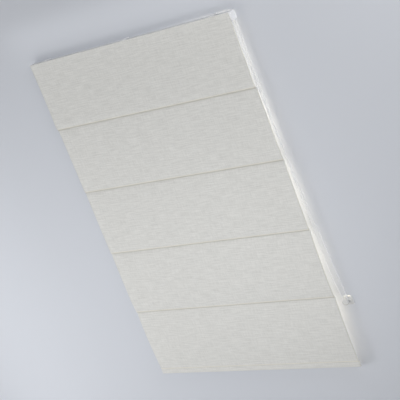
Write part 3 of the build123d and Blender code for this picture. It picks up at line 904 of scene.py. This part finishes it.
class BLIND_OT_bottom_hem(bpy.types.Operator):
    """Sew the bottom hem round its bar"""

    bl_idname = "blind.bottom_hem"
    bl_label = "Bottom Hem"

    def execute(self, context):
        settings = context.scene.blind_cloth
        face = bpy.data.materials["linen_face"]
        edge = bpy.data.materials["linen_edge_and_lip_highlight"]
        low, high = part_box("bottom_hem")
        front, back = low.y, high.y
        # Half an ellipse below, straight sides and a flat top: the outline of a turned hem.
        turn = np.linspace(math.pi, 2 * math.pi, 14)
        middle = (front + back) / 2
        half = (back - front) / 2
        bend = 3.2 * MM
        under = np.stack((middle + half * np.cos(turn), low.z + bend + bend * np.sin(turn)), -1)
        left = np.stack((np.full(9, back), np.linspace(low.z + bend, high.z, 10)[1:]), -1)
        right = np.stack((np.full(9, front), np.linspace(high.z, low.z + bend, 10)[:-1]), -1)
        loop = np.concatenate((under, left, right))
        bulge = np.sin(math.pi * np.clip((loop[:, 1] - low.z) / (high.z - low.z), 0, 1))
        loop[:, 0] += np.where(loop[:, 0] < middle, -0.5, 0.3) * MM * bulge
        xs = np.linspace(low.x, high.x, 180)
        hem = closed_profile_along_x(
            "hem_pocket", loop, xs, [face], lambda x: 0.25 * MM * np.sin(17 * x + 1), low.z
        )
        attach(hem, BAR_BODY)
        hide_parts("bottom_hem")
        # Machine stitches in a row near the hem's top, each a short ellipsoid lying along x.
        count = 285
        at = np.linspace(low.x + 4 * MM, high.x - 4 * MM, count)
        row = (front - 0.25 * MM, high.z - 2.2 * MM)
        centre = np.column_stack((at, *(np.full(count, place) for place in row)))
        radii = np.array((0.35, 0.35, 1.35)) * MM
        points, faces = ellipsoids(centre, np.array(((0, 1, 0), (0, 0, 1), (1, 0, 0))), radii, 3, 6)
        stitches = put_closed("hem_stitching", points, faces, [edge])
        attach(stitches, BAR_BODY)
        return {"FINISHED"}


class BLIND_OT_lift_cords(bpy.types.Operator):
    """Run the three braided lift cords from the spools to the hem"""

    bl_idname = "blind.lift_cords"
    bl_label = "Lift Cords"

    def execute(self, context):
        settings = context.scene.blind_chain
        material = braid("cord_braid", (0.90, 0.90, 0.89))
        for number in (1, 2, 3):
            low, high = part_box(f"lift_cord_{number}")
            x = (low.x + high.x) / 2
            radius = settings.lift_cord / 2
            start = np.array((x, high.y - radius, high.z))
            end = np.array((x, low.y + radius, low.z))
            share = np.linspace(0, 1, 90)[:, None]
            path = start + (end - start) * share
            cord = tube(f"braided_cord_{number}", path, radius, 10, [material])
            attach(cord, RAIL_BODY)
            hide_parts(f"lift_cord_{number}")
            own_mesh(cord)
        return {"FINISHED"}


class BLIND_OT_hardware(bpy.types.Operator):
    """Give every rail, chain drive, bracket and rod part its finish"""

    bl_idname = "blind.hardware"
    bl_label = "Hardware Finishes"

    def execute(self, context):
        finishes = {
            powder_coat("rail_coat", (0.92, 0.93, 0.95)): ("headrail", *numbered("wall_bracket", 3)),
            tape_pile("tape_pile", (0.88, 0.88, 0.87)): ("hook_tape", "loop_tape"),
            moulded("white_moulding", (0.92, 0.93, 0.95), 0.34): (
                "left_end_cap",
                "control_housing",
                "control_cover",
                "bar_end_caps",
                "cord_adjusters",
                "chain_joiner",
                *numbered("bracket_cam", 3),
                *numbered("rod_tips", 4),
                *numbered("cord_guides", 4),
            ),
            moulded("natural_nylon", (0.80, 0.80, 0.76), 0.5): (
                "sprocket",
                "brake_core",
                *numbered("spool", 3),
                *numbered("spool_cradle", 3),
            ),
            drawn("zinc_shaft", (0.72, 0.73, 0.75), 0.35): ("drive_shaft",),
            drawn("oiled_spring", (0.35, 0.35, 0.37), 0.3): ("brake_spring",),
            drawn("mill_bar", (0.78, 0.79, 0.80), 0.4): ("bottom_bar",),
            drawn("drawn_rod", (0.85, 0.85, 0.82), 0.4, metallic=0.0): numbered("fold_rod", 4),
            clear_plastic("clear_moulding"): ("chain_tensioner",),
            drawn("nickel_screw", (0.80, 0.80, 0.81), 0.2, "Y"): ("tensioner_screw",),
        }
        for material, nodes in finishes.items():
            for node in nodes:
                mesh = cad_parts[node].data
                mesh.materials.clear()
                mesh.materials.append(material)
        return {"FINISHED"}


# ------------------------------------------------------------------ stage


def area_light(name, place, aim, size, power, colour=(1.0, 1.0, 1.0)):
    """A soft rectangular light at a place, turned to face a point."""
    data = bpy.data.lights.new(name, "AREA")
    data.shape = "RECTANGLE"
    data.size, data.size_y = size
    data.energy = power
    data.color = colour
    light = bpy.data.objects.new(name, data)
    direction = Vector(aim) - Vector(place)
    light.rotation_euler = direction.to_track_quat("-Z", "Y").to_euler()
    light.location = place
    bpy.context.scene.collection.objects.link(light)
    return light


class BLIND_OT_stage(bpy.types.Operator):
    """Put up the wall, the floor and the studio lights"""

    bl_idname = "blind.stage"
    bl_label = "Stage"

    def execute(self, context):
        settings = context.scene.blind_stage
        wall_paint = Finish("wall_paint", (0.676, 0.702, 0.755), 0.9)
        facing = wall_paint.add("ShaderNodeNewGeometry")
        clear = wall_paint.add("ShaderNodeBsdfTransparent")
        mix = wall_paint.add("ShaderNodeMixShader")
        output = wall_paint.nodes["Material Output"]
        wall_paint.join(facing.outputs["Backfacing"], mix.inputs["Fac"])
        wall_paint.join(wall_paint.shader.outputs["BSDF"], mix.inputs[1])
        wall_paint.join(clear.outputs["BSDF"], mix.inputs[2])
        wall_paint.join(mix.outputs["Shader"], output.inputs["Surface"])
        far = 6.0
        floor_z = -2.6
        wall_y = 1 * MM
        wall = put_mesh(
            "wall",
            np.array([(x, wall_y, z) for x, z in ((-far, floor_z), (far, floor_z), (far, 4.0), (-far, 4.0))]),
            np.array(((0, 1, 2, 3),)),
            [wall_paint.material],
            smooth=False,
        )
        wall.visible_shadow = False
        wall.visible_glossy = False
        floor_paint = Finish("floor_paint", (0.72, 0.72, 0.72), 0.8)
        floor = put_mesh(
            "floor",
            np.array([(x, y, floor_z) for x, y in ((-far, -far), (far, -far), (far, far), (-far, far))]),
            np.array(((0, 1, 2, 3),)),
            [floor_paint.material],
            smooth=False,
        )
        middle = (0.0, 0.0, -0.7)
        area_light("key", (-2.4, -2.6, -0.7), middle, (1.6, 1.6), settings.key_power)
        area_light("low", (0.3, -1.1, -0.95), (0.3, 0.0, -0.95), (1.0, 0.6), settings.low_power)
        area_light("top", (0.0, -1.2, 1.8), (0.0, 0.0, 0.0), (2.0, 0.5), settings.top_power)
        area_light("left", (-1.6, -1.1, -1.9), middle, (0.8, 0.8), settings.left_power)
        area_light("near", (-1.4, -1.3, -1.1), middle, (0.8, 0.8), 0.5 * settings.left_power)
        area_light("right", (1.6, -1.1, 0.6), middle, (0.8, 0.8), settings.right_power)
        area_light("back", (0.2, 2.4, -0.3), middle, (1.6, 1.6), settings.back_power)
        area_light("wash", (-2.0, -0.9, -0.6), (-0.95, 0.0, -0.5), (0.8, 0.8), settings.wash_power)
        area_light("rail", (0.0, -0.10, 0.14), (0.0, 0.0, 0.02), (1.2, 0.08), settings.rail_power)
        side = area_light("side", (2.2, -0.06, -0.6), (0.5, -0.06, -0.6), (0.06, 1.4), settings.side_power)
        glow = area_light(
            "glow",
            (0.46, 0.15, -0.68),
            (0.46, 0.0, -0.68),
            (0.12, 1.26),
            settings.glow_power,
            (1.0, 0.87, 0.62),
        )
        for light in (bpy.data.objects["rail"], side, glow):
            light.visible_camera = False
        world = bpy.data.worlds.new("studio")
        world.use_nodes = True
        background = world.node_tree.nodes["Background"]
        background.inputs["Color"].default_value = (1.0, 1.0, 1.0, 1)
        background.inputs["Strength"].default_value = settings.ambient
        context.scene.world = world
        context.scene.view_settings.view_transform = "Standard"
        return {"FINISHED"}


class BLIND_PT_sidebar(bpy.types.Panel):
    """Lists the blind's settings and builders"""

    bl_idname = "BLIND_PT_sidebar"
    bl_label = "Roman Blind"
    bl_space_type = "VIEW_3D"
    bl_region_type = "UI"
    bl_category = "Roman Blind"

    def draw(self, context):
        for group in ("blind_cloth", "blind_chain", "blind_stage"):
            box = self.layout.box()
            settings = getattr(context.scene, group)
            for name in type(settings).__annotations__:
                box.prop(settings, name)
        for operator in OPERATORS:
            self.layout.operator(operator.bl_idname)


SETTINGS = {
    "blind_cloth": ClothSettings,
    "blind_chain": ChainSettings,
    "blind_stage": StageSettings,
}
OPERATORS = (
    BLIND_OT_camera,
    BLIND_OT_chain,
    BLIND_OT_face_cloth,
    BLIND_OT_lining,
    BLIND_OT_fold_lips,
    BLIND_OT_bottom_hem,
    BLIND_OT_lift_cords,
    BLIND_OT_hardware,
    BLIND_OT_stage,
)


def register():
    for name, group in SETTINGS.items():
        bpy.utils.register_class(group)
        setattr(bpy.types.Scene, name, PointerProperty(type=group))
    for operator in OPERATORS:
        bpy.utils.register_class(operator)
    bpy.utils.register_class(BLIND_PT_sidebar)


def unregister():
    bpy.utils.unregister_class(BLIND_PT_sidebar)
    for operator in reversed(OPERATORS):
        bpy.utils.unregister_class(operator)
    for name, group in reversed(SETTINGS.items()):
        delattr(bpy.types.Scene, name)
        bpy.utils.unregister_class(group)


def main():
    """Build the whole blind."""
    register()
    bpy.ops.blind.camera()
    bpy.ops.blind.chain()
    bpy.ops.blind.face_cloth()
    bpy.ops.blind.lining()
    bpy.ops.blind.fold_lips()
    bpy.ops.blind.bottom_hem()
    bpy.ops.blind.lift_cords()
    bpy.ops.blind.hardware()
    bpy.ops.blind.stage()


if __name__ == "__main__":
    main()
